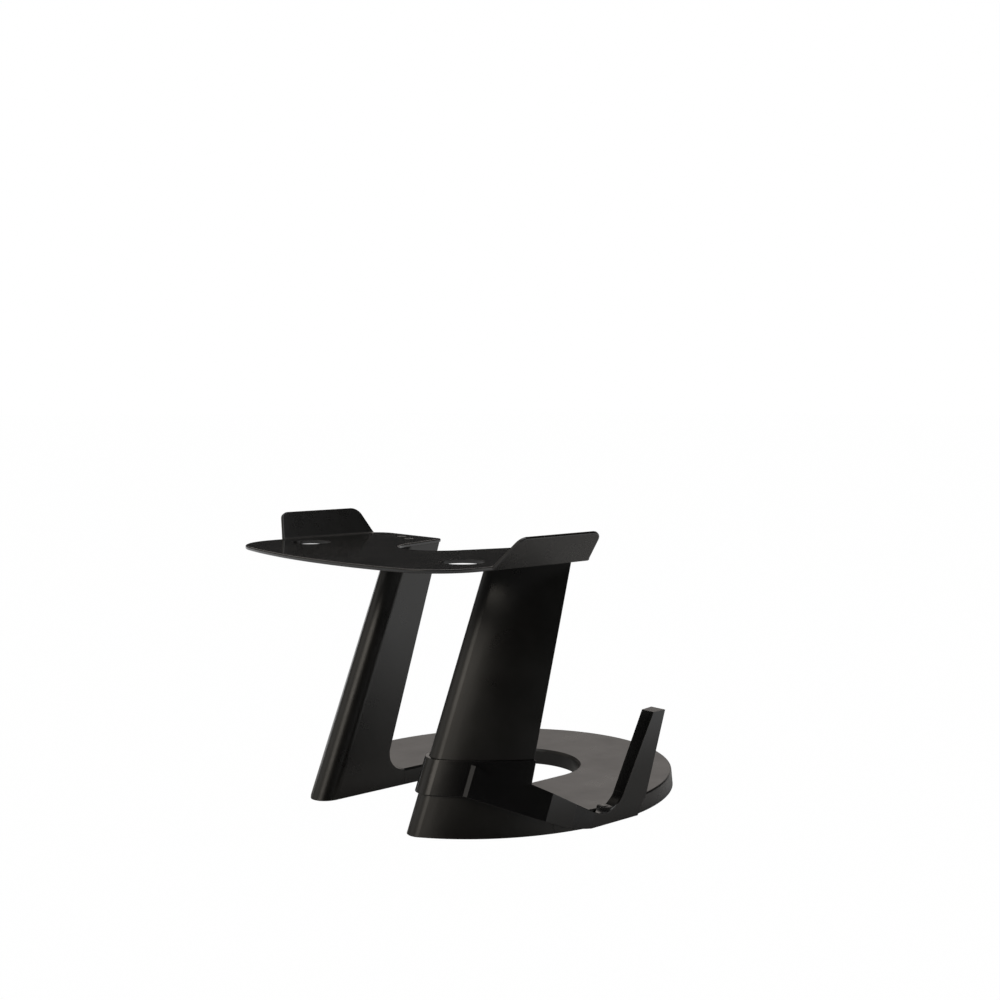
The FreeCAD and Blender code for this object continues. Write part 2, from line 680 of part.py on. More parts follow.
def build_tray():
    """The tray: a thin oval plate with a rear notch, two holes and two flared wings."""
    holes = [cylinder("tray_hole", "tray_hole_radius",
                      ("leg_height - 1", "leg_height + tray_thickness + 1"),
                      "tray_hole_offset", "-tray_hole_setback")]
    for index, (x_at, y_at) in enumerate(tray_screw_places(), 1):
        holes.append(countersunk(f"tray_screw_hole_{index}", x_at, y_at,
                                 "leg_height + tray_thickness", -1))
    whole = joined("tray_joined", [tray_plate()] + both_sides([wing()]))
    return cut("tray_drilled", whole, joined("tray_holes", both_sides(holes)))


def clip_band():
    """The clip: a band round the leg's nose and along its outer wall, with a lip inside."""
    z = ("clip_bottom", "clip_top")
    grown = "cradle_clearance + cradle_wall"
    far_front = "-2 * base_half_length"

    def column(name, grow, behind, low, high):
        """The leg grown by a formula, cut off at a distance behind its rear edge."""
        rear = side_profile(f"{name}_rear", (
            (far_front, low),
            (rear_line(low, behind), low),
            (rear_line(high, behind), high),
            (far_front, high),
        ), ("0", "2 * base_half_width"))
        return common(name, leg_column(f"{name}_body", f"-({grow})", low, high), rear)

    outer = column("clip_outer", grown, "-clip_end", *z)
    inner = column("clip_inner", "cradle_clearance", "1", "clip_bottom - 1", "clip_top + 1")
    lip = "clip_lip - base_half_length * sqrt(1 - ((slot_half_width + leg_nose_radius) / base_half_width) ^ 2)"
    low, high = "clip_bottom - 1", "clip_top + 1"
    opening = common("clip_opening", leaning_oval("clip_opening_oval", "-leg_nose_radius", low, high),
                     side_profile("clip_opening_side", (
                         (f"leg_lean * ({low}) + {lip}", low),
                         ("2 * base_half_length", low),
                         ("2 * base_half_length", high),
                         (f"leg_lean * ({high}) + {lip}", high),
                     ), ("0", "2 * base_half_width")))
    return cut("clip_band", outer, joined("clip_room", [inner, opening]))


def arm_wall(name, depths):
    """The arm's wall in upright facets, drawn in plan and carried up along the legs' lean.

    The four depths say how far its inner face is from its outer face at the front, at the first
    bend, at the second and third, and behind the rear edge.
    """
    face = "arm_gap + cradle_wall"
    front = "-arm_front - 1"
    outer = (
        (on_line(front, f"-({face})"), front),
        (on_line("-arm_first_bend", f"-({face})"), "-arm_first_bend"),
        (on_line("-arm_second_bend", f"arm_dip - ({face})"), "-arm_second_bend"),
        (on_line("-arm_third_bend", f"-({face}) - arm_swell"), "-arm_third_bend"),
        (on_line("-arm_third_bend", f"-({face}) - arm_swell"), "finger_heel"),
    )
    first, second, third, last = depths
    inner = tuple((f"{x} - ({depth})", y)
                  for (x, y), depth in zip(outer, (first, second, third, third, last)))
    item = made("Part::Extrusion", name)
    item.Base = outline(made("Sketcher::SketchObject", f"{name}_plan"), outer + inner[::-1])
    item.DirMode = "Custom"
    item.Solid = True
    return bind(item, {"Dir.x": "0", "Dir.y": "leg_lean", "Dir.z": "1",
                       "LengthFwd": "(finger_height + 1) * sqrt(1 + leg_lean ^ 2)"})


def build_cradle():
    """The side cradle: a clip, an arm that bends round the base and a channelled finger."""
    x = ("0", "2 * base_half_width")
    low = ("-arm_front + leg_lean * arm_low", "arm_low")
    profile = side_profile("arm_side", (
        low,
        ("-arm_belly_setback", "arm_belly_height"),
        ("-notch_front", "cradle_bottom", "arm_belly_radius"),
        ("finger_heel_run", "cradle_bottom"),
        ("finger_heel", "finger_heel_height", "finger_heel_radius"),
        ("finger_rear_top", "finger_height"),
        ("finger_front_top", "finger_height"),
        ("notch_rear", "notch_rear_height"),
        ("-notch_front", "notch_front_height", "notch_radius", -1),
        ("-arm_elbow_setback", "arm_elbow_height"),
        ("-arm_shoulder_setback", "arm_shoulder_height"),
        ("-arm_front + leg_lean * arm_high", "arm_high"),
    ), x)
    wall = arm_wall("arm_wall", ("2 * cradle_wall", "1.2 * cradle_wall", "cradle_wall", "cradle_wall"))
    leg_room = leaning_oval("arm_room", "cradle_clearance", "-1", "finger_height + 2")
    arm = common("arm", cut("arm_clear", wall, leg_room), profile)

    foot = "base_thickness + joint_clearance"
    outer_slope = "((finger_rear_top - finger_heel) / (finger_height - finger_heel_height))"
    inner_slope = "((finger_front_top - notch_rear) / (finger_height - notch_rear_height))"

    def finger_side(name, inset, top):
        """The finger's outline from the side, drawn in by a formula."""
        front = (f"notch_rear + {inner_slope} * (({{z}}) - notch_rear_height)"
                 f" + ({inset}) * sqrt(1 + {inner_slope} ^ 2)")
        rear = (f"finger_heel + {outer_slope} * (({{z}}) - finger_heel_height)"
                f" - ({inset}) * sqrt(1 + {outer_slope} ^ 2)")
        return side_profile(name, (
            (front.format(z=foot), foot),
            (rear.format(z=foot), foot),
            (rear.format(z=top), top),
            (front.format(z=top), top),
        ), x)

    rim = cut("finger_rim", finger_side("finger_whole", "0", "finger_height"),
              finger_side("finger_hollow", "cradle_wall", "finger_height - cradle_wall"))
    deep = arm_wall("finger_wall", ("cradle_wall", "cradle_wall", "finger_depth", "finger_rear_depth"))
    channel = common("finger_channel", deep, rim)
    whole = joined("cradle_joined", [clip_band(), arm, channel])
    room = oval_plate("cradle_room", "joint_clearance", "joint_clearance",
                      ("-1", "base_thickness + joint_clearance"))
    return cut("cradle_cut", whole, room)


def screw_solid(name, length):
    """A countersunk screw that stands on its head, with a six-sided socket."""
    body = made("PartDesign::Body", name)
    sketch = drawn_on(body, f"{name}_half", "XZ_Plane", (
        ("0", "0"),
        ("screw_head_radius", "0"),
        ("screw_radius", "screw_head_height"),
        ("screw_radius", f"{length} - screw_radius / 2"),
        ("screw_radius / 2", length),
        ("0", length),
    ))
    turned = body.newObject("PartDesign::Revolution", f"{name}_turned")
    turned.Profile = sketch
    turned.ReferenceAxis = (sketch, ["V_Axis"])
    turned.Angle = 360
    hexagon = tuple((f"screw_socket_radius * cos({60 * turn})", f"screw_socket_radius * sin({60 * turn})")
                    for turn in range(6))
    socket = body.newObject("PartDesign::Pocket", f"{name}_socket")
    socket.Profile = drawn_on(body, f"{name}_hexagon", "XY_Plane", hexagon)
    socket.Reversed = True
    bind(socket, {"Length": "screw_socket_depth"})
    doc.recompute()
    return body


def pad_solid(name):
    """A rubber foot pad with an eased lower edge."""
    body = made("PartDesign::Body", name)
    sketch = body.newObject("Sketcher::SketchObject", f"{name}_circle")
    sketch.AttachmentSupport = [(plane_of(body, "XY_Plane"), "")]
    sketch.MapMode = "FlatFace"
    sketch.addGeometry(Part.Circle(V(), UP, worth("pad_radius")))
    sketch.addConstraint(Sketcher.Constraint("Coincident", 0, 3, -1, 1))
    sketch.addConstraint(Sketcher.Constraint("Radius", 0, worth("pad_radius")))
    sketch.setExpression("Constraints[1]", linked("pad_radius"))
    pad = body.newObject("PartDesign::Pad", f"{name}_pad")
    pad.Profile = sketch
    bind(pad, {"Length": "pad_thickness"})
    doc.recompute()
    rounded(body, f"{name}_edge", "pad_edge", lambda middle, edge: abs(middle.z) < NEAR)
    return body


def settle(item, node, x="0", y="0", z="0"):
    """Name a finished piece and move it from where it was made to where it belongs."""
    item.Label = node
    shift = "(tray_front - base_half_length) / 2"
    bind(item, {"Placement.Base.x": x, "Placement.Base.y": f"{y} + {shift}",
                "Placement.Base.z": f"{z} + pad_proud"})
    return item


def repeated(node, places, build, z, flip=False):
    """One small piece at each place and at its mirror image."""
    items = {}
    for x_at, y_at in places:
        for side in (1, -1):
            name = f"{node}_{len(items) + 1}"
            item = build(f"{name}_solid")
            if flip:
                item.Placement = FreeCAD.Placement(V(), FreeCAD.Rotation(V(1, 0, 0), 180))
            items[name] = settle(item, name, f"{side} * ({x_at})", f"({y_at})", z)
    return items


def build_all():
    """Make every piece and return it under its node's name."""
    leg = build_leg()
    nodes = {
        "base_plate": settle(build_base(), "base_plate"),
        "right_leg": settle(body_on("right_leg_solid", leg), "right_leg"),
        "left_leg": settle(mirrored("left_leg_solid", leg), "left_leg"),
        "top_tray": settle(build_tray(), "top_tray"),
        "side_cradle": settle(build_cradle(), "side_cradle"),
    }
    nodes.update(repeated("foot_pad", pad_places(), pad_solid, "-pad_proud"))
    nodes.update(repeated("tray_screw", tray_screw_places(),
                          lambda name: screw_solid(name, "tray_screw_length"),
                          "leg_height + tray_thickness", flip=True))
    nodes.update(repeated("base_screw", base_screw_places(),
                          lambda name: screw_solid(name, "base_screw_length"), "0"))
    return nodes


def export(nodes):
    """Check every object and write each piece to its own file."""
    doc.recompute()
    for item in doc.Objects:
        if "Invalid" in item.State or "Error" in item.State:
            raise RuntimeError(f"{item.Name} failed: {item.State}")
    os.makedirs("parts", exist_ok=True)
    for node, item in nodes.items():
        shape = item.Shape
        if shape.isNull() or not shape.isValid() or len(shape.Solids) != 1:
            raise RuntimeError(f"{node} is not one valid solid")
        shape.exportStep(f"parts/{node}.step")


export(build_all())
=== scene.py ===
"""Studio picture of a black moulded desk stand.

The stand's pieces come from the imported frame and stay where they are. This script gives each
of them a procedural finish. It adds the flange round the cradle's hollow, the floor, the soft
studio light and the camera.
Lengths are in metres, in the frame's own axes: +X to the leg with the cradle, -Y to the tray's
front and +Z up.
"""

import logging
import math
from dataclasses import dataclass, field
from enum import Enum
from typing import Any, Dict, List, Sequence, Tuple

import bmesh
import bpy
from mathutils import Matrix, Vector


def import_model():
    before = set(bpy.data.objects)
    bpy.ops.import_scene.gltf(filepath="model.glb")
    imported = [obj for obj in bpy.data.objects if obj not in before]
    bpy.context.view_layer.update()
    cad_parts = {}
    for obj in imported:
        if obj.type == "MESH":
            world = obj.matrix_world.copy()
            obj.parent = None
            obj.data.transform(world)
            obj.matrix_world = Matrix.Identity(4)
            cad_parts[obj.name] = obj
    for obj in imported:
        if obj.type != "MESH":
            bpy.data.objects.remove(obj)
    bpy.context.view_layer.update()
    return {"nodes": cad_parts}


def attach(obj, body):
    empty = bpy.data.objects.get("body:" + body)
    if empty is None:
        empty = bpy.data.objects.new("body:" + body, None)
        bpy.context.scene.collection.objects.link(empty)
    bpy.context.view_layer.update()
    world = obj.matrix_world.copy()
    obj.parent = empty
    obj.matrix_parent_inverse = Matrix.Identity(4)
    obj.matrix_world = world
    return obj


LOG = logging.getLogger("stand_scene")

Colour = Tuple[float, float, float]
Point = Tuple[float, float, float]


class NodeGraph:
    """A short way to build a node tree: add a node, set its inputs and link its sockets."""

    NOISE_LOW = 0.3
    NOISE_HIGH = 0.7

    def __init__(self, tree: bpy.types.NodeTree) -> None:
        """Take an empty tree.

        Args:
            tree: The node tree to fill.
        """
        self.tree = tree
        self.tree.nodes.clear()

    def add(self, kind: str, **settings: Any) -> bpy.types.Node:
        """Add a node and set its properties.

        Args:
            kind: The node's type name.
            settings: Properties of the node, by name.

        Returns:
            The new node.
        """
        node = self.tree.nodes.new(kind)
        for name, value in settings.items():
            setattr(node, name, value)
        return node

    def link(self, source: bpy.types.NodeSocket, target: bpy.types.NodeSocket) -> None:
        """Join two sockets.

        Args:
            source: The output that gives the value.
            target: The input that takes it.
        """
        self.tree.links.new(source, target)

    def noise(self, place: bpy.types.NodeSocket, scale: float, detail: float = 3.0,
              roughness: float = 0.5) -> bpy.types.Node:
        """Add a noise texture that reads a place.

        Args:
            place: The coordinates to read.
            scale: Waves a metre.
            detail: How many finer layers it has.
            roughness: How strong the finer layers are.

        Returns:
            The noise node.
        """
        node = self.add("ShaderNodeTexNoise")
        node.inputs["Scale"].default_value = scale
        node.inputs["Detail"].default_value = detail
        node.inputs["Roughness"].default_value = roughness
        self.link(place, node.inputs["Vector"])
        return node

    def spread(self, value: bpy.types.NodeSocket, low: float, high: float) -> bpy.types.NodeSocket:
        """Map the middle of a noise to a range.

        Args:
            value: The noise's value.
            low: What its low end gives.
            high: What its high end gives.

        Returns:
            The mapped value.
        """
        node = self.add("ShaderNodeMapRange")
        node.inputs["From Min"].default_value = self.NOISE_LOW
        node.inputs["From Max"].default_value = self.NOISE_HIGH
        node.inputs["To Min"].default_value = low
        node.inputs["To Max"].default_value = high
        self.link(value, node.inputs["Value"])
        return node.outputs["Result"]

    def fade(self, value: bpy.types.NodeSocket, start: float, end: float,
             level: float) -> bpy.types.NodeSocket:
        """Fade in from nothing to a level.

        Args:
            value: The value to read.
            start: Where the level begins to rise.
            end: Where it is full.
            level: What it rises to.

        Returns:
            The level.
        """
        node = self.add("ShaderNodeMapRange", interpolation_type="SMOOTHSTEP")
        node.inputs["From Min"].default_value = start
        node.inputs["From Max"].default_value = end
        node.inputs["To Min"].default_value = 0.0
        node.inputs["To Max"].default_value = level
        self.link(value, node.inputs["Value"])
        return node.outputs["Result"]


@dataclass(frozen=True)
class MouldedFinish:
    """Satin black plastic as it comes from a polished mould.

    Attributes:
        name: The material's name.
        dark: Colour of the darker patches.
        light: Colour of the lighter patches.
        smooth: Roughness where the mould was polished most.
        rough: Roughness where it was polished least.
        specular: Strength of the reflection seen straight on.
        edge_radius: Radius to which the mould eases a sharp edge.
        ripple: Height of the long waves that make a reflection uneven.
        streaks: Height of upright drag marks, which a clip leaves on what it slides over.
        rubbed: Share of the roughness that is left on level tops, which things rest on.
    """

    name: str
    dark: Colour
    light: Colour
    smooth: float
    rough: float
    specular: float = 0.5
    edge_radius: float = 0.00035
    ripple: float = 0.00004
    streaks: float = 0.0
    rubbed: float = 1.0

    RIPPLE_WAVES = 26.0
    PATCH_WAVES = 18.0
    PATCH_START = 0.35
    PATCH_END = 0.65
    POLISH_WAVES = 41.4
    STREAK_WAVES = 420.0
    STREAK_STRETCH = (1.0, 1.0, 0.02)
    LEVEL_START = 0.9
    LEVEL_END = 0.99

    def material(self) -> bpy.types.Material:
        """Build the finish as a node material.

        Returns:
            The material.
        """
        material = bpy.data.materials.new(self.name)
        material.use_nodes = True
        graph = NodeGraph(material.node_tree)
        place = graph.add("ShaderNodeTexCoord").outputs["Object"]
        shader = graph.add("ShaderNodeBsdfPrincipled")
        shader.inputs["Specular IOR Level"].default_value = self.specular
        shader.inputs["IOR"].default_value = 1.5
        self._colour(graph, place, shader)
        self._relief(graph, place, shader)
        output = graph.add("ShaderNodeOutputMaterial")
        graph.link(shader.outputs["BSDF"], output.inputs["Surface"])
        return material

    def _colour(self, graph: NodeGraph, place: bpy.types.NodeSocket,
                shader: bpy.types.Node) -> None:
        """Give the shader its patchy colour and roughness.

        Args:
            graph: The material's graph.
            place: Coordinates on the piece.
            shader: The shader to set.
        """
        patches = graph.noise(place, self.PATCH_WAVES, 4.0).outputs["Fac"]
        ramp = graph.add("ShaderNodeValToRGB")
        ramp.color_ramp.elements[0].position = self.PATCH_START
        ramp.color_ramp.elements[0].color = (*self.dark, 1.0)
        ramp.color_ramp.elements[1].position = self.PATCH_END
        ramp.color_ramp.elements[1].color = (*self.light, 1.0)
        graph.link(patches, ramp.inputs["Fac"])
        graph.link(ramp.outputs["Color"], shader.inputs["Base Color"])
        polish = graph.noise(place, self.POLISH_WAVES, 5.0, 0.6).outputs["Fac"]
        roughness = graph.spread(polish, self.smooth, self.rough)
        if self.rubbed < 1.0:
            roughness = self._rub(graph, roughness)
        graph.link(roughness, shader.inputs["Roughness"])

    def _rub(self, graph: NodeGraph, roughness: bpy.types.NodeSocket) -> bpy.types.NodeSocket:
        """Make level tops smoother, as use does.

        Args:
            graph: The material's graph.
            roughness: The roughness of an unused face.

        Returns:
            The roughness after use.
        """
        axes = graph.add("ShaderNodeSeparateXYZ")
        graph.link(graph.add("ShaderNodeTexCoord").outputs["Normal"], axes.inputs["Vector"])
        level = graph.fade(axes.outputs["Z"], self.LEVEL_START, self.LEVEL_END,
                           self.rubbed - 1.0)
        worn = graph.add("ShaderNodeMath", operation="MULTIPLY_ADD")
        graph.link(roughness, worn.inputs[0])
        graph.link(level, worn.inputs[1])
        graph.link(roughness, worn.inputs[2])
        return worn.outputs["Value"]

    def _relief(self, graph: NodeGraph, place: bpy.types.NodeSocket,
                shader: bpy.types.Node) -> None:
        """Give the shader eased edges, long ripples and drag marks.

        Args:
            graph: The material's graph.
            place: Coordinates on the piece.
            shader: The shader to set.
        """
        eased = graph.add("ShaderNodeBevel", samples=6)
        eased.inputs["Radius"].default_value = self.edge_radius
        normal = eased.outputs["Normal"]
        layers = [(graph.noise(place, self.RIPPLE_WAVES, 2.0).outputs["Fac"], self.ripple)]
        if self.streaks:
            stretched = graph.add("ShaderNodeMapping")
            stretched.inputs["Scale"].default_value = self.STREAK_STRETCH
            graph.link(place, stretched.inputs["Vector"])
            marks = graph.noise(stretched.outputs["Vector"], self.STREAK_WAVES, 3.0)
            layers.append((marks.outputs["Fac"], self.streaks))
        for value, height in layers:
            bump = graph.add("ShaderNodeBump")
            bump.inputs["Strength"].default_value = 1.0
            bump.inputs["Distance"].default_value = height
            graph.link(value, bump.inputs["Height"])
            graph.link(normal, bump.inputs["Normal"])
            normal = bump.outputs["Normal"]
        graph.link(normal, shader.inputs["Normal"])


@dataclass(frozen=True)
class RubberFinish:
    """Matt black rubber with a fine moulded grain.

    Attributes:
        name: The material's name.
        colour: The rubber's colour.
        grain: Height of the moulded grain.
    """

    name: str
    colour: Colour
    grain: float = 0.00003

    GRAIN_WAVES = 1800.0
    DUST_WAVES = 160.0
    CLEAN_ROUGHNESS = 0.65
    DUSTY_ROUGHNESS = 0.9

    def material(self) -> bpy.types.Material:
        """Build the finish as a node material.

        Returns:
            The material.
        """
        material = bpy.data.materials.new(self.name)
        material.use_nodes = True
        graph = NodeGraph(material.node_tree)
        place = graph.add("ShaderNodeTexCoord").outputs["Object"]
        shader = graph.add("ShaderNodeBsdfPrincipled")
        shader.inputs["Base Color"].default_value = (*self.colour, 1.0)
        dust = graph.noise(place, self.DUST_WAVES, 4.0).outputs["Fac"]
        graph.link(graph.spread(dust, self.CLEAN_ROUGHNESS, self.DUSTY_ROUGHNESS),
                   shader.inputs["Roughness"])
        cells = graph.add("ShaderNodeTexVoronoi")
        cells.inputs["Scale"].default_value = self.GRAIN_WAVES
        graph.link(place, cells.inputs["Vector"])
        bump = graph.add("ShaderNodeBump")
        bump.inputs["Distance"].default_value = self.grain
        graph.link(cells.outputs["Distance"], bump.inputs["Height"])
        graph.link(bump.outputs["Normal"], shader.inputs["Normal"])
        output = graph.add("ShaderNodeOutputMaterial")
        graph.link(shader.outputs["BSDF"], output.inputs["Surface"])
        return material


@dataclass(frozen=True)
class SteelFinish:
    """Blackened steel, unevenly worn, for the screws.

    Attributes:
        name: The material's name.
        colour: The steel's colour.
    """

    name: str
    colour: Colour

    WORN_WAVES = 900.0
    SMOOTH_ROUGHNESS = 0.25
    WORN_ROUGHNESS = 0.5

    def material(self) -> bpy.types.Material:
        """Build the finish as a node material.

        Returns:
            The material.
        """
        material = bpy.data.materials.new(self.name)
        material.use_nodes = True
        graph = NodeGraph(material.node_tree)
        place = graph.add("ShaderNodeTexCoord").outputs["Object"]
        shader = graph.add("ShaderNodeBsdfPrincipled")
        shader.inputs["Base Color"].default_value = (*self.colour, 1.0)
        shader.inputs["Metallic"].default_value = 1.0
        worn = graph.noise(place, self.WORN_WAVES, 4.0).outputs["Fac"]
        graph.link(graph.spread(worn, self.SMOOTH_ROUGHNESS, self.WORN_ROUGHNESS),
                   shader.inputs["Roughness"])
        output = graph.add("ShaderNodeOutputMaterial")
        graph.link(shader.outputs["BSDF"], output.inputs["Surface"])
        return material


class Finish(Enum):
    """The finishes on the stand."""

    STAND = MouldedFinish("stand_plastic", dark=(0.0042, 0.004, 0.0035),
                          light=(0.0062, 0.0059, 0.0052), smooth=0.26, rough=0.34,
                           ripple=0.00002)
    TRAY = MouldedFinish("tray_plastic", dark=(0.0042, 0.004, 0.0035),
                         light=(0.0062, 0.0059, 0.0052), smooth=0.24, rough=0.32,
                         ripple=0.000004, rubbed=0.4)
    CRADLE = MouldedFinish("cradle_plastic", dark=(0.0034, 0.0035, 0.0036),
                           light=(0.005, 0.0051, 0.0053), smooth=0.15, rough=0.21,
                           streaks=0.00001)
    RUBBER = RubberFinish("pad_rubber", colour=(0.018, 0.018, 0.018))
    STEEL = SteelFinish("screw_steel", colour=(0.07, 0.07, 0.072))

    def material(self) -> bpy.types.Material:
        """Give the finish's material, which is built when it is first asked for.

        Returns:
            The material.
        """
        return bpy.data.materials.get(self.value.name) or self.value.material()


@dataclass
class Pieces:
    """A group of the stand's pieces that share one finish.

    Attributes:
        stems: How the names of the group's nodes start.
        finish: The finish on all of them.
    """

    stems: Tuple[str, ...]
    finish: Finish

    def dress(self, nodes: Dict[str, bpy.types.Object]) -> int:
        """Put the finish on every node of the group.

        Args:
            nodes: The frame's nodes by name.

        Returns:
            How many pieces took the finish.
        """
        material = self.finish.material()
        dressed = 0
        for name, node in nodes.items():
            if not name.startswith(self.stems):
                continue
            if not node.material_slots:
                node.data.materials.append(material)
            for place in node.material_slots:
                place.material = material
            dressed += 1
        LOG.info("%s on %d pieces", self.finish.name, dressed)
        return dressed


@dataclass
class Stand:
    """The stand: its mouldings, its clip-on cradle, its pads and its screws.

    Attributes:
        nodes: The frame's nodes by name.
        groups: The pieces by finish.
    """

    nodes: Dict[str, bpy.types.Object]
    groups: Sequence[Pieces] = field(default_factory=lambda: (
        Pieces(("base_plate", "right_leg", "left_leg"), Finish.STAND),
        Pieces(("top_tray",), Finish.TRAY),
        Pieces(("side_cradle",), Finish.CRADLE),
        Pieces(("foot_pad",), Finish.RUBBER),
        Pieces(("tray_screw", "base_screw"), Finish.STEEL),
    ))

    def dress(self) -> None:
        """Give every piece its finish.

        Raises:
            ValueError: If a piece belongs to no group.
        """
        dressed = sum(group.dress(self.nodes) for group in self.groups)
        if dressed != len(self.nodes):
            raise ValueError(f"{len(self.nodes) - dressed} pieces have no finish")


@dataclass
class HollowLip:
    """The flange that follows the cradle's hollow round to the foot of its finger.

    It runs on the hollow's own arc, from a rounded edge on the cradle's outer face up and
    inwards, clear of the base's rounded rim. Lengths across the arc are radii about its middle,
    so that a shorter one is higher.

    Attributes:
        middle: Centre of the hollow's arc, along Y and up.
        radius: The hollow's radius.
        start: Angle at the front end, in degrees from straight down.
        end: Angle at the foot of the finger.
        steps: How many steps the arc has.
        outer_face: The cradle's outer face.
        inner_face: Where the rounded edge ends and the slope begins.
        tip: Where the slope ends at the front end.
        reach: Where it ends at the finger.
        lift: How far the lip lies over the hollow's own edge.
        thickness: Its thickness at the finger.
        base_top: Height that its lower face keeps over the base.
        rim: Where the base's rim lies under it.
        level: Where the slope has come over the base's top.
        full: Angle at which the slope has its whole reach.
        settle: Angle from which the lift falls.
        settled: Share of the lift that is gone at the finger.
        skin: Least thickness over the base.
        edge: Height of the rounded edge on the outer face.
        edge_round: How far the rounded edge draws in.
        root: How far the lower face is sunk into the cradle's wall.
        root_end: How far inside the outer edge the lower face ends.
        under_run: How far the lower face runs level at the inner edge.
        past_rim: How far past the base's rim the lower face drops.
        slope_steps: How many steps the slope has.
        sharp: Angle, in degrees, over which an edge is sharp.
    """

    middle: Tuple[float, float] = (-0.00192, 0.02718)
    radius: float = 0.0183
    start: float = -26.0
    end: float = 59.5
    steps: int = 44
    outer_face: float = 0.11003
    inner_face: float = 0.10985
    tip: float = 0.1086
    reach: float = 0.1021
    lift: float = 0.00012
    thickness: float = 0.0022
    base_top: float = 0.01083
    rim: float = 0.1056
    level: float = 0.1049
    full: float = 8.0
    settle: float = 30.0
    settled: float = 0.9
    skin: float = 0.00008
    edge: float = 0.0003
    edge_round: float = 0.00005
    root: float = 0.0004
    root_end: float = 0.0005
    under_run: float = 0.001
    past_rim: float = 0.0006
    slope_steps: int = 6
    sharp: float = 50.0

    @staticmethod
    def _ease(value: float, start: float, end: float) -> float:
        """Rise smoothly from 0 to 1.

        Args:
            value: The value to read.
            start: Where the rise begins.
            end: Where it ends.

        Returns:
            A share from 0 to 1.
        """
        share = min(1.0, max(0.0, (value - start) / (end - start)))
        return share * share * (3.0 - 2.0 * share)

    def _section(self, degrees: float) -> List[Vector]:
        """Work out the lip's closed section at an angle of the arc.

        Args:
            degrees: The angle, in degrees from straight down.

        Returns:
            The section's corners, from the outer face inwards and back below.
        """
        angle = math.radians(degrees)
        sunk = self.settled * self._ease(degrees, self.settle, self.end)
        over = self.radius - self.lift * (1.0 - sunk)
        inner = self.tip + (self.reach - self.tip) * self._ease(degrees, self.start, self.full)
        base = (self.middle[1] - self.base_top) / math.cos(angle)
        climb = max(0.0, over + self.skin - base) / (self.inner_face - self.level)

        def top(across: float) -> float:
            """Give the radius of the upper face at a place across."""
            return over - climb * (self.inner_face - across)

        path = [(self.outer_face, self.radius + self.edge),
                (self.outer_face - self.edge_round, self.radius)]
        for step in range(self.slope_steps + 1):
            across = self.inner_face + (inner - self.inner_face) * step / self.slope_steps
            path.append((across, top(across)))
        level_end = min(self.rim, inner + self.under_run + (self.rim - self.reach))
        for across in (inner, level_end, self.rim + self.past_rim,
                       self.inner_face - self.root_end):
            across = max(across, inner)
            under = min(top(across) + self.thickness, base)
            if across > self.rim:
                under = max(self.radius + self.root, under)
            path.append((across, under))
        return [Vector((across, self.middle[0] + out * math.sin(angle),
                        self.middle[1] - out * math.cos(angle))) for across, out in path]

    def build(self, finish: Finish) -> bpy.types.Object:
        """Build the lip and fix it to the stand.

        Args:
            finish: The finish that it shares with the cradle.

        Returns:
            The lip's object.
        """
        shape = bmesh.new()
        loops: List[List[bmesh.types.BMEdge]] = []
        for step in range(self.steps + 1):
            degrees = self.start + (self.end - self.start) * step / self.steps
            corners = [shape.verts.new(place) for place in self._section(degrees)]
            loops.append([shape.edges.new(pair)
                          for pair in zip(corners, corners[1:] + corners[:1])])
        for near, far in zip(loops, loops[1:]):
            bmesh.ops.bridge_loops(shape, edges=near + far)
        for ends in (loops[0], loops[-1]):
            bmesh.ops.edgenet_fill(shape, edges=ends)
        bmesh.ops.recalc_face_normals(shape, faces=shape.faces[:])
        mesh = bpy.data.meshes.new("cradle_lip")
        shape.to_mesh(mesh)
        shape.free()
        mesh.shade_smooth()
        mesh.set_sharp_from_angle(angle=math.radians(self.sharp))
        lip = bpy.data.objects.new("cradle_lip", mesh)
        bpy.context.scene.collection.objects.link(lip)
        mesh.materials.append(finish.material())
        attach(lip, "root")
        LOG.info("cradle_lip with %d faces", len(mesh.polygons))
        return lip


@dataclass(frozen=True)
class SoftBox:
    """A large soft light.

    Attributes:
        name: The light's name.
        place: Its centre.
        target: The point it faces.
        size: Its width and height.
        power: Its power in watts.
        colour: Its colour.
    """

    name: str
    place: Point
    target: Point
    size: Tuple[float, float]
    power: float
    colour: Colour = (1.0, 1.0, 1.0)

    def build(self) -> bpy.types.Object:
        """Add the light to the scene.

        Returns:
            The light's object.
        """
        lamp = bpy.data.lights.new(self.name, "AREA")
        lamp.shape = "RECTANGLE"
        lamp.size, lamp.size_y = self.size
        lamp.energy = self.power
        lamp.color = self.colour
        light = bpy.data.objects.new(self.name, lamp)
        light.location = self.place
        aim = Vector(self.target) - Vector(self.place)
        light.rotation_euler = aim.to_track_quat("-Z", "Y").to_euler()
        bpy.context.scene.collection.objects.link(light)
        return light


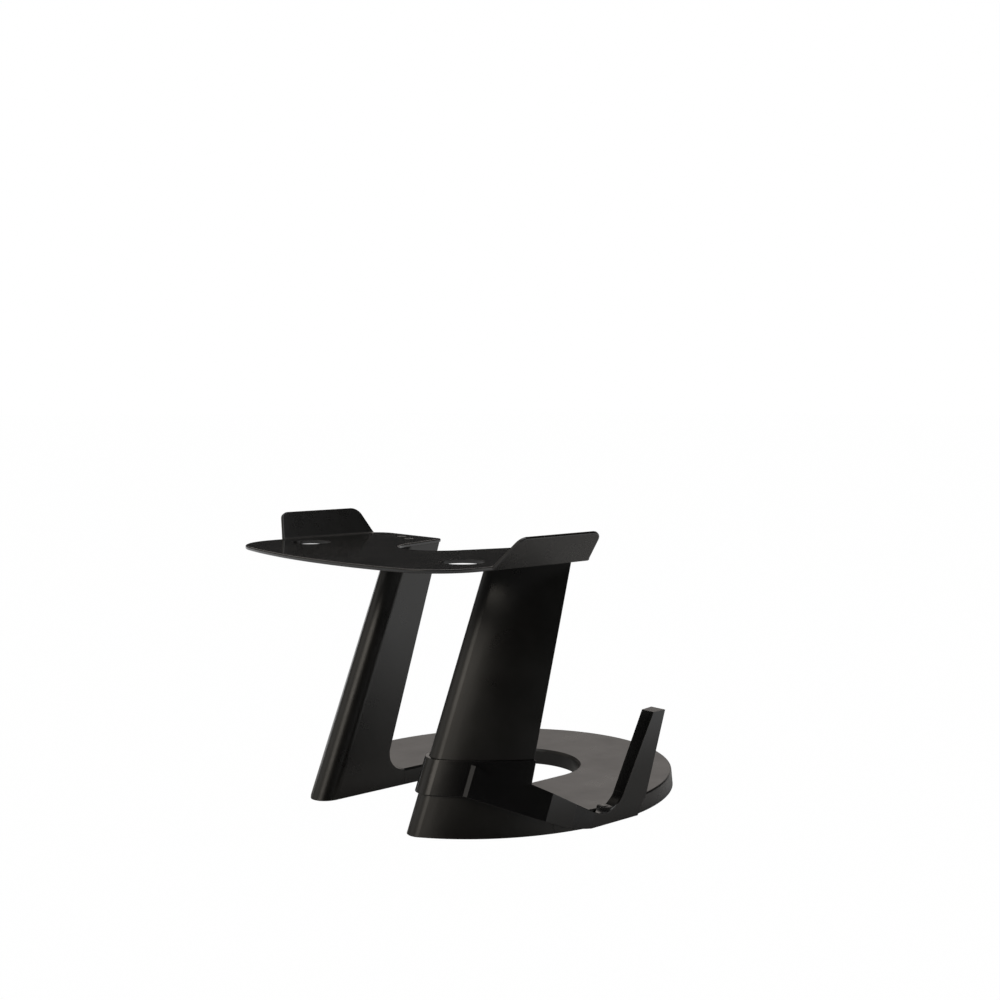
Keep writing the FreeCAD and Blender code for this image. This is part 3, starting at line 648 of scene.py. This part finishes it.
@dataclass(frozen=True)
class Glow:
    """A soft bright part of the studio's walls, which the plastic mirrors.

    Attributes:
        way: The direction it lies in. It is a weight for each axis, and needn't be of length 1.
        start: Where, along that way, it begins.
        end: Where, along that way, it has its full brightness.
        level: Its full brightness.
        colour: Its colour.
        foot: Heights, as sines of an elevation, between which it fades in from the horizon.
    """

    way: Point
    start: float
    end: float
    level: float
    colour: Colour = (1.0, 1.0, 1.0)
    foot: Tuple[float, float] = (-2.0, -1.5)

    def light(self, graph: NodeGraph, way: bpy.types.NodeSocket) -> bpy.types.NodeSocket:
        """Build the light it gives.

        Args:
            graph: The surroundings' graph.
            way: The direction looked in.

        Returns:
            The light's closure.
        """
        facing = graph.add("ShaderNodeVectorMath", operation="DOT_PRODUCT")
        facing.inputs[1].default_value = self.way
        graph.link(way, facing.inputs[0])
        axes = graph.add("ShaderNodeSeparateXYZ")
        graph.link(way, axes.inputs["Vector"])
        risen = graph.fade(axes.outputs["Z"], *self.foot, 1.0)
        spread = graph.fade(facing.outputs["Value"], self.start, self.end, self.level)
        level = graph.add("ShaderNodeMath", operation="MULTIPLY")
        graph.link(risen, level.inputs[0])
        graph.link(spread, level.inputs[1])
        glow = graph.add("ShaderNodeBackground")
        glow.inputs["Color"].default_value = (*self.colour, 1.0)
        graph.link(level.outputs["Value"], glow.inputs["Strength"])
        return glow.outputs["Background"]


@dataclass
class Studio:
    """A white floor in a dark room with soft bright walls, and soft light.

    Attributes:
        floor_size: Width of the floor.
        floor_colour: Colour of the floor.
        floor_glow: How much of the floor is plain white to the camera, so that shadows are faint.
        floor_mirrored: How much of the far floor glows plain white where a piece mirrors it.
        floor_near: Distance up to which the mirrored floor gets no glow, a painted shade round the
            stand.
        floor_far: Distance from which the mirrored floor glows fully white; between the two the
            painted shade fades out.
        room: Brightness of the dark parts of the room.
        glows: The bright parts of the room.
        lights: The soft lights.
    """

    floor_size: float = 60.0
    floor_colour: Colour = (0.85, 0.85, 0.85)
    floor_glow: float = 0.995
    floor_mirrored: float = 1.0
    floor_near: float = 0.2
    floor_far: float = 0.42
    room: float = 0.02
    glows: Sequence[Glow] = (
        Glow((-0.45, -0.75, 0.48), 0.45, 0.95, 0.42, (1.0, 0.93, 0.83)),
        Glow((0.06, -0.84, 0.54), 0.935, 0.995, 2.6, (1.0, 0.93, 0.83)),
        Glow((0.83, 0.55, 0.0), 0.88, 0.97, 2.2, (1.0, 0.98, 0.95)),
        Glow((-0.72, 0.6, 0.35), 0.88, 0.97, 1.0, (1.0, 0.93, 0.88), (0.19, 0.27)),
        Glow((-0.4, 0.9, 0.0), 0.93, 0.99, 0.6, (1.0, 0.93, 0.88)),
    )
    lights: List[SoftBox] = field(default_factory=lambda: [
        SoftBox("left_box", (-1.1, -1.3, 0.6), (0.0, 0.0, 0.1), (0.9, 1.4), 0.8),
        SoftBox("top_box", (0.0, 0.1, 1.7), (0.0, 0.0, 0.0), (1.2, 1.2), 8.0),
    ])

    def build(self) -> None:
        """Add the floor, the surroundings and the lights."""
        self._floor()
        self._world()
        for light in self.lights:
            light.build()

    def _floor(self) -> None:
        """Add the plain pale floor, which shows only a faint shadow. Where the plastic mirrors it,
        the floor glows white far out and is painted darker near the stand, as painted shade.
        """
        mesh = bpy.data.meshes.new("studio_floor")
        shape = bmesh.new()
        bmesh.ops.create_grid(shape, x_segments=1, y_segments=1, size=self.floor_size / 2)
        shape.to_mesh(mesh)
        shape.free()
        floor = bpy.data.objects.new("studio_floor", mesh)
        bpy.context.scene.collection.objects.link(floor)
        material = bpy.data.materials.new("studio_floor")
        material.use_nodes = True
        graph = NodeGraph(material.node_tree)
        matt = graph.add("ShaderNodeBsdfDiffuse")
        matt.inputs["Color"].default_value = (*self.floor_colour, 1.0)
        white = graph.add("ShaderNodeEmission")
        white.inputs["Strength"].default_value = 1.0
        rays = graph.add("ShaderNodeLightPath")
        seen = graph.add("ShaderNodeMath", operation="MULTIPLY")
        seen.inputs[1].default_value = self.floor_glow
        graph.link(rays.outputs["Is Camera Ray"], seen.inputs[0])
        # Painted shade: to glossy rays the floor's white glow fades out towards the stand,
        # standing in for the stand's shadow on the floor.
        place = graph.add("ShaderNodeTexCoord").outputs["Object"]
        away = graph.add("ShaderNodeVectorMath", operation="LENGTH")
        graph.link(place, away.inputs[0])
        clear = graph.fade(away.outputs["Value"], self.floor_near, self.floor_far,
                           self.floor_mirrored)
        share = graph.add("ShaderNodeMath", operation="MULTIPLY_ADD")
        graph.link(rays.outputs["Is Glossy Ray"], share.inputs[0])
        graph.link(clear, share.inputs[1])
        graph.link(seen.outputs["Value"], share.inputs[2])
        mixed = graph.add("ShaderNodeMixShader")
        graph.link(share.outputs["Value"], mixed.inputs["Fac"])
        graph.link(matt.outputs["BSDF"], mixed.inputs[1])
        graph.link(white.outputs["Emission"], mixed.inputs[2])
        output = graph.add("ShaderNodeOutputMaterial")
        graph.link(mixed.outputs["Shader"], output.inputs["Surface"])
        mesh.materials.append(material)

    def _world(self) -> None:
        """Surround the scene: a dark room with soft bright walls, white to the camera."""
        world = bpy.data.worlds.new("studio_room")
        world.use_nodes = True
        graph = NodeGraph(world.node_tree)
        way = graph.add("ShaderNodeTexCoord").outputs["Generated"]
        dark = graph.add("ShaderNodeBackground")
        dark.inputs["Strength"].default_value = self.room
        room = dark.outputs["Background"]
        for glow in self.glows:
            both = graph.add("ShaderNodeAddShader")
            graph.link(room, both.inputs[0])
            graph.link(glow.light(graph, way), both.inputs[1])
            room = both.outputs["Shader"]
        white = graph.add("ShaderNodeBackground")
        white.inputs["Strength"].default_value = 1.0
        for background in (dark, white):
            background.inputs["Color"].default_value = (1.0, 1.0, 1.0, 1.0)
        rays = graph.add("ShaderNodeLightPath")
        mixed = graph.add("ShaderNodeMixShader")
        graph.link(rays.outputs["Is Camera Ray"], mixed.inputs["Fac"])
        graph.link(room, mixed.inputs[1])
        graph.link(white.outputs["Background"], mixed.inputs[2])
        output = graph.add("ShaderNodeOutputWorld")
        graph.link(mixed.outputs["Shader"], output.inputs["Surface"])
        bpy.context.scene.world = world


@dataclass(frozen=True)
class PhotoCamera:
    """The camera, standing where the photograph was taken.

    Attributes:
        place: Where it stands.
        yaw: Its turn to the left about the upright axis, in degrees.
        pitch: How far it looks down, in degrees.
        lens: Its focal length on a 36 mm wide picture, in millimetres.
    """

    place: Point = (0.6551, -0.57115, 0.2439)
    yaw: float = 48.17
    pitch: float = 3.94
    lens: float = 49.98

    def build(self) -> bpy.types.Object:
        """Add the camera and make it the scene's own.

        Returns:
            The camera's object.
        """
        data = bpy.data.cameras.new("photo_camera")
        data.lens = self.lens
        data.sensor_width = 36.0
        data.sensor_fit = "HORIZONTAL"
        data.clip_start = 0.01
        data.clip_end = 50.0
        camera = bpy.data.objects.new("photo_camera", data)
        camera.location = self.place
        camera.rotation_euler = (math.radians(90.0 - self.pitch), 0.0, math.radians(self.yaw))
        bpy.context.scene.collection.objects.link(camera)
        bpy.context.scene.camera = camera
        return camera


def plain_colours() -> None:
    """Show colours as they are, with no film look."""
    view = bpy.context.scene.view_settings
    view.view_transform = "Standard"
    view.look = "None"
    view.exposure = 0.0
    view.gamma = 1.0


def main() -> None:
    """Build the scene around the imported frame."""
    logging.basicConfig(level=logging.INFO, format="%(name)s: %(message)s")
    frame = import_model()
    PhotoCamera().build()
    Stand(frame["nodes"]).dress()
    HollowLip().build(Finish.CRADLE)
    Studio().build()
    plain_colours()


if __name__ == "__main__":
    main()
